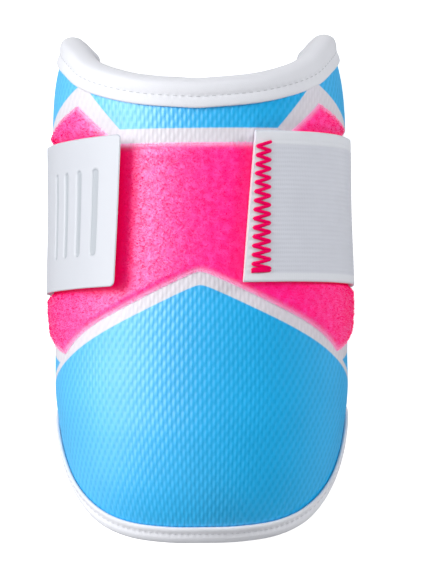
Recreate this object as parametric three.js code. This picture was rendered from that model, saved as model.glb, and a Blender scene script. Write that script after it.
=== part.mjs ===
// A batter's elbow guard: a moulded padded shell that arches over the outside of the elbow,
// edged with soft binding, with a brushed loop panel round its middle and an elastic strap that
// closes round the arm, its pull tab gripping that panel.
//
// Millimetres. The guard lies on its open side: X runs across it, Y along the arm towards the
// shoulder, and Z up, out of the front of the shell. The origin is on the table, under the middle
// of the guard.
//
// Each soft piece is cut flat and then laid over the shell. A point of the flat pattern is
// (around, along): the arc length round the arm from the front centre line, and the distance
// along the arm.
import * as THREE from "three";

// Shell, from the bottom of the elbow cup to the top. Each row is one cross-section of the outer
// face: half its width, and how far its front stands above the arm's axis.
const SHELL_SECTIONS = [
  { along: -92, halfWidth: 36.8, frontRise: 20.5 },
  { along: -84, halfWidth: 40.4, frontRise: 33.5 },
  { along: -77, halfWidth: 43.0, frontRise: 40.5 },
  { along: -66, halfWidth: 45.8, frontRise: 46.2 },
  { along: -50, halfWidth: 48.2, frontRise: 50.2 },
  { along: -36, halfWidth: 50.0, frontRise: 51.3 },
  { along: -20, halfWidth: 50.1, frontRise: 51.9 },
  { along: -6, halfWidth: 51.0, frontRise: 52.0 },
  { along: 26, halfWidth: 50.2, frontRise: 51.4 },
  { along: 56, halfWidth: 50.1, frontRise: 50.4 },
  { along: 67, halfWidth: 49.4, frontRise: 49.8 },
  { along: 75, halfWidth: 48.0, frontRise: 49.0 },
  { along: 83, halfWidth: 45.4, frontRise: 48.4 },
  { along: 92, halfWidth: 42.6, frontRise: 48.0 },
];
const BACK_REACH = 50; // how far the sides would reach behind the arm's axis at half a turn
const AXIS_HEIGHT = 26; // the arm's axis above the table
const PATTERN_ZERO = 0.9; // the pattern's zero line above the middle of the guard's length
const PATTERN_RADIUS = 50; // radius that turns pattern arc length into an angle
const PAD_WALL = 8; // shell, foam and cover in the middle of the guard
const RIM_WALL = 5.5; // the same at the bound edge
const WALL_FADE = 26; // distance from the edge over which the wall thickens

// Edge of the pad in the flat pattern. The guard is cut the same left and right.
const SIDE_EDGE = 104.7; // straight side edges, 120 degrees round from the front
const TOP_EDGE = [
  { around: 0, along: 66.6 },
  { around: 19, along: 68.2 },
  { around: 33, along: 71.0 },
  { around: 45, along: 74.6 },
  { around: 56, along: 79.4 },
  { around: 72, along: 83.6 },
  { around: 88, along: 84.0 },
];
const BOTTOM_EDGE = [
  { around: 0, along: -82.7 },
  { around: 15, along: -82.5 },
  { around: 33, along: -80.6 },
  { around: 48, along: -75.6 },
  { around: 62, along: -65.4 },
  { around: 78, along: -50.0 },
  { around: 88, along: -42.8 },
];
const TOP_CORNER_DROP = 4; // the rounded corners take the rims to the straight side edges
const BOTTOM_CORNER_RISE = 14;

// Binding: a folded band that wraps the edge, padded over the front rims and flat at the sides.
const BINDING_WALL = 1.2;
const BINDING_SPLIT = 23.8; // where the top and bottom bands meet on the side edges
const TOP_BINDING = { flange: 7.2, roll: 0.8, tip: 3.4 };
const BOTTOM_BINDING = { flange: 3.8, roll: 0.5, tip: 2.8 };
const SIDE_BINDING = { flange: 2.4, roll: 0, tip: 1.8 };
const TOP_BLEND = { from: 84, to: 100 }; // pattern distances over which the bands flatten
const BOTTOM_BLEND = { from: 44, to: 66 };

// Brushed loop panel: a long hexagon with ears at the top and points at the bottom.
const LOOP_WALL = 1.2;
const LOOP_END = 88; // stops short of the bound side edges
const LOOP_TOP = { level: 48.4, flatTo: 29.2, earAt: 48.3, earAlong: 61.8, fall: 0.33 };
const LOOP_CHEVRON = { peak: 5.5, slope: 0.452, rounding: 2, pointAt: 57.5, rise: 0.23 };
const LOOP_CURL = { from: 34, share: 0.0046 }; // the chevron steepens towards its points

// Strap of elastic webbing, with a moulded pull tab on its left end.
const STRAP_WIDTH = 50;
const STRAP_WALL = 1.8;
const STRAP_MIDDLE = 26.8; // along the arm, at the front
const STRAP_SKEW = 1.0; // the right side sits this much higher, and the left lower
const STRAP_SAG = 2.1; // fall from the front to the sides
const STRAP_END = 16.6; // sewn end, right of the front centre line
const STRAP_END_SLANT = 0.1; // the end leans out towards the top of the guard
const STRAP_LEAVES = 106; // where the strap leaves the shell to cross behind the arm
const STRAP_PRESS = 2; // how far the strap and tab sink into the pad
const PRESS_BESIDE = { full: 26.4, none: 28.6 }; // from the strap's middle, along the arm
const PRESS_START = { none: 30, full: 72 }; // from the front centre line, round the arm
const PRESS_END = { full: 84, none: 98 }; // fades before the bound side edges
const STRAP_PULL_IN = 0.05; // share by which the strap draws the side edges together
const PULL_ZONE = { low: -20, lowFull: -3, highFull: 50, high: 74 }; // along the arm
const TAB_WALL = 2;
const TAB_FRONT = -28.5; // free end, left of the front centre line
const TAB_FRONT_SLANT = 0.05; // the free end leans in towards the top of the guard
const TAB_BACK = -90; // where the tab is joined to the elastic
const TAB_CORNER = 2.5; // radius of the free end's corners

const GAP = 0.3; // left between pieces that touch

// Smooth curve through one column of a table whose rows are in rising order of the key.
function through(table, key, column, at) {
  const last = table.length - 2;
  let i = table.findIndex((row) => row[key] > at) - 1;
  if (i < 0) i = at < table[0][key] ? 0 : last;
  const slope = (k) => {
    const before = table[Math.max(k - 1, 0)];
    const after = table[Math.min(k + 1, last + 1)];
    return (after[column] - before[column]) / (after[key] - before[key]);
  };
  const [a, b] = [table[i], table[i + 1]];
  const step = b[key] - a[key];
  const t = (at - a[key]) / step;
  const rise = b[column] - a[column];
  const [start, end] = [slope(i) * step, slope(i + 1) * step];
  return a[column] + t * (start + t * (3 * rise - 2 * start - end + t * (start + end - 2 * rise)));
}

const { smoothstep, lerp, clamp } = THREE.MathUtils;

// The strap draws the side edges in, so the pattern wraps a little less far there.
function wrapShare(along) {
  const { low, lowFull, highFull, high } = PULL_ZONE;
  return 1 - STRAP_PULL_IN * smoothstep(along, low, lowFull) * (1 - smoothstep(along, highFull, high));
}

// The strap lies in one tilted plane, so its middle shifts along the arm as it goes round.
function strapShift(around) {
  const angle = around / PATTERN_RADIUS;
  return STRAP_MIDDLE + STRAP_SKEW * Math.sin(angle) - STRAP_SAG * (1 - Math.cos(angle));
}

// Depth to which the strap and tab press the pad in.
function strapPress(around, along) {
  const beside = Math.abs(along - strapShift(around));
  const reach = Math.abs(around);
  const under = 1 - smoothstep(beside, PRESS_BESIDE.full, PRESS_BESIDE.none);
  const started = smoothstep(reach, PRESS_START.none, PRESS_START.full);
  const ended = smoothstep(reach, PRESS_END.full, PRESS_END.none);
  return STRAP_PRESS * under * started * (1 - ended);
}

// Outer face of the shell at a point of the pattern.
function shellFace(around, along) {
  const angle = (around / PATTERN_RADIUS) * wrapShare(along);
  const press = strapPress(around, along);
  const width = through(SHELL_SECTIONS, "along", "halfWidth", along) - press;
  const front = through(SHELL_SECTIONS, "along", "frontRise", along) - press;
  const reach = Math.cos(angle) > 0 ? front : BACK_REACH;
  return new THREE.Vector3(
    width * Math.sin(angle),
    along - PATTERN_ZERO,
    AXIS_HEIGHT + reach * Math.cos(angle),
  );
}

// The point a given height above the outer face of the shell, or below it where negative.
function onShell(around, along, height) {
  const nudge = 0.05;
  const across = shellFace(around + nudge, along).sub(shellFace(around - nudge, along));
  const lengthwise = shellFace(around, along + nudge).sub(shellFace(around, along - nudge));
  const outward = across.cross(lengthwise).normalize();
  return shellFace(around, along).addScaledVector(outward, height);
}

// A soft edge that would dip below the table is flattened where it rests.
function restingOnTable(point) {
  point.z = Math.max(point.z, 0);
  return point;
}

// Height of a rim in the pattern, with its round corner at the side edge.
function rim(table, cornerStep, around) {
  const reach = Math.abs(around);
  const corner = table[table.length - 1].around;
  if (reach <= corner) return through(table, "around", "along", reach);
  const share = Math.min((reach - corner) / (SIDE_EDGE - corner), 1);
  return table[table.length - 1].along + cornerStep * (1 - Math.sqrt(1 - share * share));
}
const topRim = (around) => rim(TOP_EDGE, -TOP_CORNER_DROP, around);
const bottomRim = (around) => rim(BOTTOM_EDGE, BOTTOM_CORNER_RISE, around);

// Thickness of the pad, thinner towards its edges.
function padWall(around, along) {
  const inset = Math.min(
    SIDE_EDGE - Math.abs(around),
    topRim(around) - along,
    along - bottomRim(around),
  );
  return lerp(RIM_WALL, PAD_WALL, smoothstep(inset, 0, WALL_FADE));
}

// Evenly spread numbers from one value to another.
const spread = (from, to, steps) => Array.from({ length: steps + 1 }, (_, i) => lerp(from, to, i / steps));

// Pattern positions from the left side edge to the right one. They take in the corners of the
// loop panel, and come closer together round the corners of the pad.
function stations() {
  const half = [
    ...spread(0, LOOP_TOP.flatTo, 4),
    ...spread(LOOP_TOP.flatTo, LOOP_TOP.earAt, 4).slice(1),
    ...spread(LOOP_TOP.earAt, LOOP_CHEVRON.pointAt, 2).slice(1),
    ...spread(LOOP_CHEVRON.pointAt, LOOP_END, 5).slice(1),
    ...spread(0, Math.PI / 2, 5).slice(1).map((turn) => lerp(LOOP_END, SIDE_EDGE, Math.sin(turn))),
  ];
  return [...half.slice(1).map((around) => -around).reverse(), ...half];
}

// A closed solid from cross-cuts of a sheet. Each cut has the points of its outer face and, one
// for one, those of its inner face. The cuts run left to right and their points bottom to top.
function sheetSolid(cuts) {
  const across = cuts[0].outer.length;
  const points = cuts.flatMap(({ outer, inner }) => [...outer, ...inner]);
  const positions = points.flatMap((point) => point.toArray());
  const outer = (i, j) => i * 2 * across + j;
  const inner = (i, j) => outer(i, j) + across;
  const index = [];
  const quad = (a, b, c, d) => index.push(a, b, c, a, c, d);
  const [endCut, endPoint] = [cuts.length - 1, across - 1];
  for (let i = 0; i < endCut; i++) {
    for (let j = 0; j < endPoint; j++) {
      quad(outer(i, j), outer(i + 1, j), outer(i + 1, j + 1), outer(i, j + 1));
      quad(inner(i, j), inner(i, j + 1), inner(i + 1, j + 1), inner(i + 1, j));
    }
    quad(outer(i, 0), inner(i, 0), inner(i + 1, 0), outer(i + 1, 0));
    quad(outer(i, endPoint), outer(i + 1, endPoint), inner(i + 1, endPoint), inner(i, endPoint));
  }
  for (let j = 0; j < endPoint; j++) {
    quad(outer(0, j), outer(0, j + 1), inner(0, j + 1), inner(0, j));
    quad(outer(endCut, j), inner(endCut, j), inner(endCut, j + 1), outer(endCut, j + 1));
  }
  const geometry = new THREE.BufferGeometry();
  geometry.setAttribute("position", new THREE.Float32BufferAttribute(positions, 3));
  geometry.setIndex(index);
  geometry.computeVertexNormals();
  return geometry;
}

// Lower and upper edges of the loop panel in the pattern.
function loopBottom(around) {
  const { peak, slope, rounding, pointAt, rise } = LOOP_CHEVRON;
  const reach = Math.abs(around);
  const run = Math.hypot(Math.min(reach, pointAt), rounding) - rounding;
  const curl = LOOP_CURL.share * Math.max(run - LOOP_CURL.from, 0) ** 2;
  return peak - slope * run - curl + rise * Math.max(reach - pointAt, 0);
}
function loopTop(around) {
  const { level, flatTo, earAt, earAlong, fall } = LOOP_TOP;
  const reach = Math.abs(around);
  if (reach > earAt) return earAlong - fall * (reach - earAt);
  return lerp(level, earAlong, clamp((reach - flatTo) / (earAt - flatTo), 0, 1));
}

// Pattern positions across the loop panel: below the strap, under it and above it.
function loopRows(around) {
  const [low, high] = [loopBottom(around), loopTop(around)];
  const middle = strapShift(around);
  const underLow = Math.max(middle - PRESS_BESIDE.none, low + 1);
  const pressLow = Math.max(middle - PRESS_BESIDE.full, underLow + 1);
  const overHigh = Math.min(middle + PRESS_BESIDE.none, high - 1);
  const pressHigh = Math.min(middle + PRESS_BESIDE.full, overHigh - 1);
  return [...spread(low, underLow, 2), ...spread(pressLow, pressHigh, 4), overHigh, high];
}

// Pattern positions from the bottom rim to the top one: under the binding, up to the loop panel,
// under it and the strap, and on to the top.
function padRows(around) {
  const [low, high] = [bottomRim(around), topRim(around)];
  const [lowBand, highBand] = [BOTTOM_BINDING.flange, TOP_BINDING.flange];
  const middle = strapShift(around);
  const pressHigh = Math.max(loopTop(around) + 0.6, middle + PRESS_BESIDE.full);
  const overHigh = Math.max(pressHigh + 0.6, middle + PRESS_BESIDE.none);
  return [
    ...[low, low + 0.4 * lowBand],
    ...spread(low + lowBand, loopBottom(around), 6).slice(0, -1),
    ...loopRows(around),
    ...[pressHigh, ...spread(overHigh, high - highBand, 3)],
    ...[high - 0.4 * highBand, high],
  ];
}

// Padded shell: moulded core, foam and printed cover, bonded into one wall.
function guardPad() {
  const cuts = stations().map((around) => {
    const rows = padRows(around);
    return {
      outer: rows.map((along) => onShell(around, along, 0)),
      inner: rows.map((along) => onShell(around, along, -padWall(around, along))),
    };
  });
  return sheetSolid(cuts);
}

// Brushed loop panel bonded to the cover, wrapping round both sides.
function loopPanel() {
  const covered = stations().filter((around) => Math.abs(around) <= LOOP_END);
  const cuts = covered.map((around) => ({
    outer: loopRows(around).map((along) => onShell(around, along, GAP + LOOP_WALL)),
    inner: loopRows(around).map((along) => onShell(around, along, GAP)),
  }));
  return sheetSolid(cuts);
}

// Edge binding: the cross-section of the folded band, from the lip on the front face, over the
// edge and back to the lip inside. Reach is measured outwards from the pad's edge in the pattern.
// Face says which face of the pad a point's height is measured from.
function bindingSection({ flange, roll, tip }) {
  const outside = GAP + BINDING_WALL;
  return [
    { face: "front", skin: [-flange, outside], lining: [-flange, GAP] },
    { face: "front", skin: [-0.4 * flange, outside + 0.3 * roll], lining: [-0.4 * flange, GAP] },
    { face: "front", skin: [0, outside + roll], lining: [0, GAP] },
    { face: "front", skin: [0.6 * tip, 0.5 * outside], lining: [GAP, GAP] },
    { face: "front", skin: [0.9 * tip, -0.8 * outside], lining: [GAP, -0.8 * outside] },
    { face: "middle", skin: [tip, 0], lining: [GAP, 0] },
    { face: "back", skin: [0.6 * tip, 0.5 * outside], lining: [GAP, GAP] },
    { face: "back", skin: [0, outside + roll], lining: [0, GAP] },
    { face: "back", skin: [-flange, outside], lining: [-flange, GAP] },
  ];
}

// A point of the binding, from the pad's edge at a place in the pattern and the way out of it.
function bindingPoint(edge, outwards, face, [reach, height]) {
  const place = edge.clone().addScaledVector(outwards, reach);
  const wall = padWall(clamp(place.x, -SIDE_EDGE, SIDE_EDGE), place.y);
  const level = { front: height, middle: -wall / 2, back: -wall - height }[face];
  return restingOnTable(onShell(place.x, place.y, level));
}

// Sweeps the band along a stretch of the pad's edge, taken clockwise as seen from the front.
function edgeBinding(edges, front, blend) {
  const cuts = edges.map((edge, i) => {
    const ahead = edges[Math.min(i + 1, edges.length - 1)];
    const behind = edges[Math.max(i - 1, 0)];
    const outwards = new THREE.Vector2(behind.y - ahead.y, ahead.x - behind.x).normalize();
    const flat = smoothstep(Math.abs(edge.x), blend.from, blend.to);
    const section = bindingSection({
      flange: lerp(front.flange, SIDE_BINDING.flange, flat),
      roll: lerp(front.roll, SIDE_BINDING.roll, flat),
      tip: lerp(front.tip, SIDE_BINDING.tip, flat),
    });
    return {
      outer: section.map(({ face, skin }) => bindingPoint(edge, outwards, face, skin)),
      inner: section.map(({ face, lining }) => bindingPoint(edge, outwards, face, lining)),
    };
  });
  return sheetSolid(cuts);
}

// Points of a side edge above or below the strap's middle, the nearest to it first.
function sideEdge(start, towards) {
  const points = [start];
  const rows = towards > 0 ? padRows(SIDE_EDGE) : padRows(SIDE_EDGE).reverse();
  for (const along of rows.slice(0, -1)) {
    if (towards * (along - points[points.length - 1]) > 2.4) points.push(along);
  }
  return points;
}
function topBinding() {
  const side = sideEdge(BINDING_SPLIT + GAP / 2, 1);
  const edges = [
    ...side.map((along) => new THREE.Vector2(-SIDE_EDGE, along)),
    ...stations().map((around) => new THREE.Vector2(around, topRim(around))),
    ...side.map((along) => new THREE.Vector2(SIDE_EDGE, along)).reverse(),
  ];
  return edgeBinding(edges, TOP_BINDING, TOP_BLEND);
}
function bottomBinding() {
  const side = sideEdge(BINDING_SPLIT - GAP / 2, -1);
  const edges = [
    ...side.map((along) => new THREE.Vector2(SIDE_EDGE, along)),
    ...stations().map((around) => new THREE.Vector2(around, bottomRim(around))).reverse(),
    ...side.map((along) => new THREE.Vector2(-SIDE_EDGE, along)).reverse(),
  ];
  return edgeBinding(edges, BOTTOM_BINDING, BOTTOM_BLEND);
}

const strapHeight = 2.5 * GAP + LOOP_WALL; // clears the loop panel that it lies on
const strapRows = spread(-STRAP_WIDTH / 2, STRAP_WIDTH / 2, 4);

// A point of the strap where it lies on the shell.
function strapOnShell(around, row, height) {
  return onShell(around, strapShift(around) + row, strapHeight + height);
}

// One face of the strap from where it leaves a side of the shell to the table, as a bend that
// starts along the shell and ends flat.
function strapBend(side, row, height, tableHeight) {
  const leaves = strapOnShell(side * STRAP_LEAVES, row, height);
  const before = strapOnShell(side * (STRAP_LEAVES - 1), row, height);
  const heading = leaves.clone().sub(before);
  const corner = leaves.clone().addScaledVector(heading, (tableHeight - leaves.z) / heading.z);
  const flatStart = corner.clone();
  flatStart.x -= side * corner.distanceTo(leaves);
  return new THREE.QuadraticBezierCurve3(leaves, corner, flatStart);
}

// Elastic strap, from its sewn end on the front right, round the right side, flat under the guard
// and up the left side to the pull tab.
function elasticStrap() {
  const face = (height, tableHeight) => {
    const left = spread(-STRAP_LEAVES, TAB_BACK - GAP, 2).slice(1);
    return strapRows.map((row) => {
      const right = spread(STRAP_END + STRAP_END_SLANT * row, STRAP_LEAVES, 17);
      const rightBend = strapBend(1, row, height, tableHeight).getPoints(5);
      const leftBend = strapBend(-1, row, height, tableHeight).getPoints(5).reverse();
      return [
        ...right.slice(0, -1).map((around) => strapOnShell(around, row, height)),
        ...rightBend,
        ...leftBend,
        ...left.map((around) => strapOnShell(around, row, height)),
      ];
    });
  };
  const [outerRows, innerRows] = [face(STRAP_WALL, 0), face(0, STRAP_WALL)];
  const cuts = outerRows[0].map((_, i) => ({
    outer: outerRows.map((row) => row[i]),
    inner: innerRows.map((row) => row[i]),
  }));
  return sheetSolid(cuts);
}

// Moulded pull tab with round front corners, which grips the loop panel on the front left.
function pullTab() {
  const corner = spread(0, Math.PI / 2, 3).map((turn) => TAB_FRONT - TAB_CORNER * (1 - Math.sin(turn)));
  const stations = [...spread(TAB_BACK, TAB_FRONT - TAB_CORNER, 11).slice(0, -1), ...corner];
  const cuts = stations.map((around) => {
    const lean = (TAB_FRONT_SLANT * (around - TAB_BACK)) / (TAB_FRONT - TAB_BACK);
    const past = Math.max(around - (TAB_FRONT - TAB_CORNER), 0);
    const trim = TAB_CORNER - Math.sqrt(TAB_CORNER ** 2 - Math.min(past, TAB_CORNER) ** 2);
    const half = STRAP_WIDTH / 2 - trim;
    const rows = spread(-half, half, 5);
    return {
      outer: rows.map((row) => strapOnShell(around + lean * row, row, TAB_WALL)),
      inner: rows.map((row) => strapOnShell(around + lean * row, row, 0)),
    };
  });
  return sheetSolid(cuts);
}

function piece(name, geometry, color, roughness) {
  const mesh = new THREE.Mesh(geometry, new THREE.MeshStandardMaterial({ color, roughness, metalness: 0 }));
  mesh.name = name;
  return mesh;
}

const guard = new THREE.Group();
guard.add(
  piece("guard_pad", guardPad(), 0x4fb8ee, 0.75),
  piece("loop_panel", loopPanel(), 0xff2a7f, 0.95),
  piece("top_binding", topBinding(), 0xeeeef4, 0.7),
  piece("bottom_binding", bottomBinding(), 0xe6e6ec, 0.7),
  piece("elastic_strap", elasticStrap(), 0xdcdfe6, 0.8),
  piece("pull_tab", pullTab(), 0xf0f2f6, 0.45),
);

export default guard;
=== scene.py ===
import math

import bpy
import numpy as np
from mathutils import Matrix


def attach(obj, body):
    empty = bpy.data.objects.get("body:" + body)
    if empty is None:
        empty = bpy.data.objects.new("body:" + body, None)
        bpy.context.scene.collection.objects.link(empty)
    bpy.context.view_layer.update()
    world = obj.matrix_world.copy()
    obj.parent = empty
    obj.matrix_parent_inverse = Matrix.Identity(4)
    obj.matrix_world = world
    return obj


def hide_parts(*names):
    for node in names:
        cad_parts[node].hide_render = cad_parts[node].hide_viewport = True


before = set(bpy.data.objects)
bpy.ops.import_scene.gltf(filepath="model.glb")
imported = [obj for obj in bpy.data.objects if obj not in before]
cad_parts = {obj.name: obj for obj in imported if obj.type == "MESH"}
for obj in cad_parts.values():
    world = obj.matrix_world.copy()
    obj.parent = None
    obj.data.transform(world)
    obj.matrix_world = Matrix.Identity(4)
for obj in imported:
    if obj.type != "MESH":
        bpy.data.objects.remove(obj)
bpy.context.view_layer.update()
bpy.ops.object.select_all(action="DESELECT")


# Camera. The photograph faces the front of the guard squarely and from far off. The guard lies on
# its open back here, so the camera looks straight down at it, turned by a small angle.
VIEW_PLACE = (0.00405, -0.0002, 1.326)
VIEW_TURN = math.radians(-0.6)
VIEW_LENS = 238  # on a film 36 mm along the picture's long side
bpy.ops.object.camera_add(location=VIEW_PLACE, rotation=(0, 0, VIEW_TURN))
camera = bpy.context.object
camera.data.lens = VIEW_LENS
camera.data.sensor_width = 36
bpy.context.scene.camera = camera


# Studio. A white table lit from below, a soft key light from the upper left of the picture, one low
# on each side, one in front and a weak one above. Only the two lights on the left leave highlights,
# so that the colours stay full on the right.
TABLE_SIZE = 3.0
TABLE_DROP = 0.0003  # keeps the table's face clear of the strap that lies on it
TABLE_COLOUR = (0.9, 0.9, 0.91, 1)
TABLE_GLOW = 0.72  # as the camera sees it
TABLE_BOUNCE = (0.56, 0.56, 0.57, 1)  # its colour as the guard sees it
TABLE_MIRRORED = (0.3, 0.3, 0.3, 1)  # and as it shows in the guard's highlights
ROOM_COLOUR = (0.93, 0.96, 1.0, 1)
ROOM_STRENGTH = 0.02
SOFT_LIGHTS = [
    # name, place, side of the square panel, power in watts, leaves highlights
    ("key_light", (-0.887, 0.512, 0.8), 0.7, 14.0, True),
    ("left_light", (-1.3, 0, 0.35), 1.0, 7.6, True),
    ("right_light", (1.15, 0.5, 0.25), 0.2, 8.2, False),
    ("front_light", (0, -0.9, 1.0), 0.6, 6.5, False),
    ("top_light", (0.5, 0.4, 1.5), 0.4, 6.0, False),
]


def node(tree, kind, inputs=None, **settings):
    """A new shader node, with its settings and inputs given as values or as sockets to link."""
    made = tree.nodes.new(kind)
    for name, value in settings.items():
        setattr(made, name, value)
    for key, value in (inputs or {}).items():
        if isinstance(value, bpy.types.NodeSocket):
            tree.links.new(value, made.inputs[key])
        else:
            made.inputs[key].default_value = value
    return made


def maths(tree, operation, *values):
    return node(tree, "ShaderNodeMath", dict(enumerate(values)), operation=operation).outputs[0]


def blend_colours(tree, share, first, second, kind="MIX"):
    made = node(tree, "ShaderNodeMix", {0: share, 6: first, 7: second}, data_type="RGBA")
    made.blend_type = kind
    return made.outputs[2]


def new_material(name, **sockets):
    """A material and its surface shader, whose plain values are set on the shader's own sockets."""
    material = bpy.data.materials.new(name)
    material.use_nodes = True
    surface = material.node_tree.nodes["Principled BSDF"]
    for socket, value in sockets.items():
        surface.inputs[socket.replace("_", " ")].default_value = value
    return material, material.node_tree, surface


bpy.ops.mesh.primitive_plane_add(size=TABLE_SIZE, location=(0, 0, -TABLE_DROP))
table = bpy.context.object
table.name = "table"
white_table, table_tree, table_surface = new_material(
    "white_table", Base_Color=TABLE_COLOUR, Roughness=0.8, Emission_Color=TABLE_COLOUR
)
rays = node(table_tree, "ShaderNodeLightPath").outputs
glow = maths(table_tree, "MULTIPLY", rays["Is Camera Ray"], TABLE_GLOW)
table_tree.links.new(glow, table_surface.inputs["Emission Strength"])
bounce = blend_colours(table_tree, rays["Is Glossy Ray"], TABLE_BOUNCE, TABLE_MIRRORED)
table_colour = blend_colours(table_tree, rays["Is Camera Ray"], bounce, TABLE_COLOUR)
table_tree.links.new(table_colour, table_surface.inputs["Base Color"])
table.data.materials.append(white_table)

room = bpy.data.worlds.new("room")
room.use_nodes = True
room.node_tree.nodes["Background"].inputs["Color"].default_value = ROOM_COLOUR
room.node_tree.nodes["Background"].inputs["Strength"].default_value = ROOM_STRENGTH
bpy.context.scene.world = room
bpy.context.scene.view_settings.view_transform = "Standard"

for light_name, place, side, power, highlights in SOFT_LIGHTS:
    bpy.ops.object.light_add(type="AREA", location=place)
    light = bpy.context.object
    light.name = light_name
    light.data.size = side
    light.data.energy = power
    light.visible_glossy = highlights
    towards = -light.location
    light.rotation_euler = towards.to_track_quat("-Z", "Y").to_euler()


# Padded shell. A moulded core with foam on both faces, under a knitted polyester mesh that is
# printed before it is bonded on. Every piece is cut flat and then laid over this shell: a place of
# the flat pattern is (around, along, height) in millimetres, from the front centre line.
SHELL_SECTIONS = np.array([
    # along, half width, rise of the front above the arm's axis
    (-92, 36.8, 20.5),
    (-84, 40.4, 33.5),
    (-77, 43.0, 40.5),
    (-66, 45.8, 46.2),
    (-50, 48.2, 50.2),
    (-36, 50.0, 51.3),
    (-20, 50.1, 51.9),
    (-6, 51.0, 52.0),
    (26, 50.2, 51.4),
    (56, 50.1, 50.4),
    (67, 49.4, 49.8),
    (75, 48.0, 49.0),
    (83, 45.4, 48.4),
    (92, 42.6, 48.0),
])
BACK_REACH = 50  # how far the sides would reach behind the arm's axis at half a turn
AXIS_HEIGHT = 26  # the arm's axis above the table
PATTERN_ZERO = 0.9  # the pattern's zero line above the middle of the guard's length
PATTERN_RADIUS = 50  # turns a length round the pattern into an angle
PAD_WALL, RIM_WALL, WALL_FADE = 8, 5.5, 26  # in the middle, at the bound edge, and the way between
SIDE_EDGE = 104.7  # straight side edges, 120 degrees round from the front
TOP_EDGE = np.array([
    # around, along
    (0, 66.6), (19, 68.2), (33, 71.0), (45, 74.6), (56, 79.4), (72, 83.6), (88, 84.0),
])
BOTTOM_EDGE = np.array([
    # around, along
    (0, -82.7), (15, -82.5), (33, -80.6), (48, -75.6), (62, -65.4), (78, -50.0), (88, -42.8),
])
TOP_CORNER_DROP, BOTTOM_CORNER_RISE = 4, 14
STRAP_MIDDLE, STRAP_SKEW, STRAP_SAG = 26.8, 1.0, 2.1
STRAP_PRESS = 2  # how deep the strap sinks in at the sides
STRAP_PULL_IN = 0.05  # share by which it draws the sides together
PAD_FACES = (232, 168)  # across and up the cover


def through(rows, at):
    """Smooth curve through the rows of a table, from its first column to its second."""
    keys, values = rows[:, 0], rows[:, 1]
    steps = np.arange(len(keys))
    before, after = np.maximum(steps - 1, 0), np.minimum(steps + 1, len(keys) - 1)
    slope = (values[after] - values[before]) / (keys[after] - keys[before])
    i = np.clip(np.searchsorted(keys, at, side="right") - 1, 0, len(keys) - 2)
    step = keys[i + 1] - keys[i]
    t = (at - keys[i]) / step
    rise = values[i + 1] - values[i]
    start, end = slope[i] * step, slope[i + 1] * step
    return values[i] + t * (start + t * (3 * rise - 2 * start - end + t * (start + end - 2 * rise)))


def smooth_step(at, low, high):
    t = np.clip((at - low) / (high - low), 0, 1)
    return t * t * (3 - 2 * t)


def lerp(a, b, share):
    return a + (b - a) * share


def strap_shift(around):
    """Middle line of the strap, which lies in one tilted plane round the arm."""
    angle = around / PATTERN_RADIUS
    return STRAP_MIDDLE + STRAP_SKEW * np.sin(angle) - STRAP_SAG * (1 - np.cos(angle))


def shell_face(around, along):
    """Outer face of the shell, drawn in and pressed down a little by the strap."""
    pull = smooth_step(along, -20, -3) * (1 - smooth_step(along, 50, 74))
    angle = around / PATTERN_RADIUS * (1 - STRAP_PULL_IN * pull)
    reach = np.abs(around)
    under_strap = 1 - smooth_step(np.abs(along - strap_shift(around)), 25.4, 27.8)
    round_side = smooth_step(reach, 30, 72) * (1 - smooth_step(reach, 84, 98))
    press = STRAP_PRESS * under_strap * round_side
    width = through(SHELL_SECTIONS[:, [0, 1]], along) - press
    front = through(SHELL_SECTIONS[:, [0, 2]], along) - press
    depth = np.where(np.cos(angle) > 0, front, BACK_REACH)
    places = [width * np.sin(angle), along - PATTERN_ZERO, AXIS_HEIGHT + depth * np.cos(angle)]
    return np.stack(places, axis=-1)


def on_shell(flat):
    """Lays flat pattern places over the shell, and turns them from millimetres to metres."""
    around, along, height = np.asarray(flat, float).T
    nudge = 0.05
    across = shell_face(around + nudge, along) - shell_face(around - nudge, along)
    lengthwise = shell_face(around, along + nudge) - shell_face(around, along - nudge)
    outward = np.cross(across, lengthwise)
    outward /= np.linalg.norm(outward, axis=1, keepdims=True)
    places = shell_face(around, along) + outward * height[:, None]
    places[:, 2] = np.maximum(places[:, 2], 0)  # soft edges flatten where they rest on the table
    return places / 1000


def rim(table_rows, corner_step, around):
    """Height of a rim in the pattern, with its round corner at the side edge."""
    reach = np.abs(around)
    corner_at, corner_along = table_rows[-1]
    share = np.clip((reach - corner_at) / (SIDE_EDGE - corner_at), 0, 1)
    corner = corner_along + corner_step * (1 - np.sqrt(1 - share**2))
    return np.where(reach <= corner_at, through(table_rows, np.minimum(reach, corner_at)), corner)


def top_rim(around):
    return rim(TOP_EDGE, -TOP_CORNER_DROP, around)


def bottom_rim(around):
    return rim(BOTTOM_EDGE, BOTTOM_CORNER_RISE, around)


def pad_wall(around, along):
    """Thickness of the pad, thinner towards its bound edges."""
    inset = np.minimum(top_rim(around) - along, along - bottom_rim(around))
    inset = np.minimum(inset, SIDE_EDGE - np.abs(around))
    return lerp(RIM_WALL, PAD_WALL, smooth_step(inset, 0, WALL_FADE))


def flat_grid(name, across, up):
    """A flat square of that many faces, one unit wide, alone in the selection."""
    bpy.ops.object.select_all(action="DESELECT")
    bpy.ops.mesh.primitive_grid_add(x_subdivisions=across, y_subdivisions=up, size=1)
    bpy.context.object.name = name
    return bpy.context.object


def finish_with(piece, kind, **settings):
    """Adds a modifier with these settings and applies it."""
    bpy.context.view_layer.objects.active = piece
    modifier = piece.modifiers.new(kind.lower(), kind)
    for name, value in settings.items():
        setattr(modifier, name, value)
    bpy.ops.object.modifier_apply(modifier=modifier.name)


def points_of(piece):
    places = np.empty(3 * len(piece.data.vertices))
    piece.data.vertices.foreach_get("co", places)
    return places.reshape(-1, 3)


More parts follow.
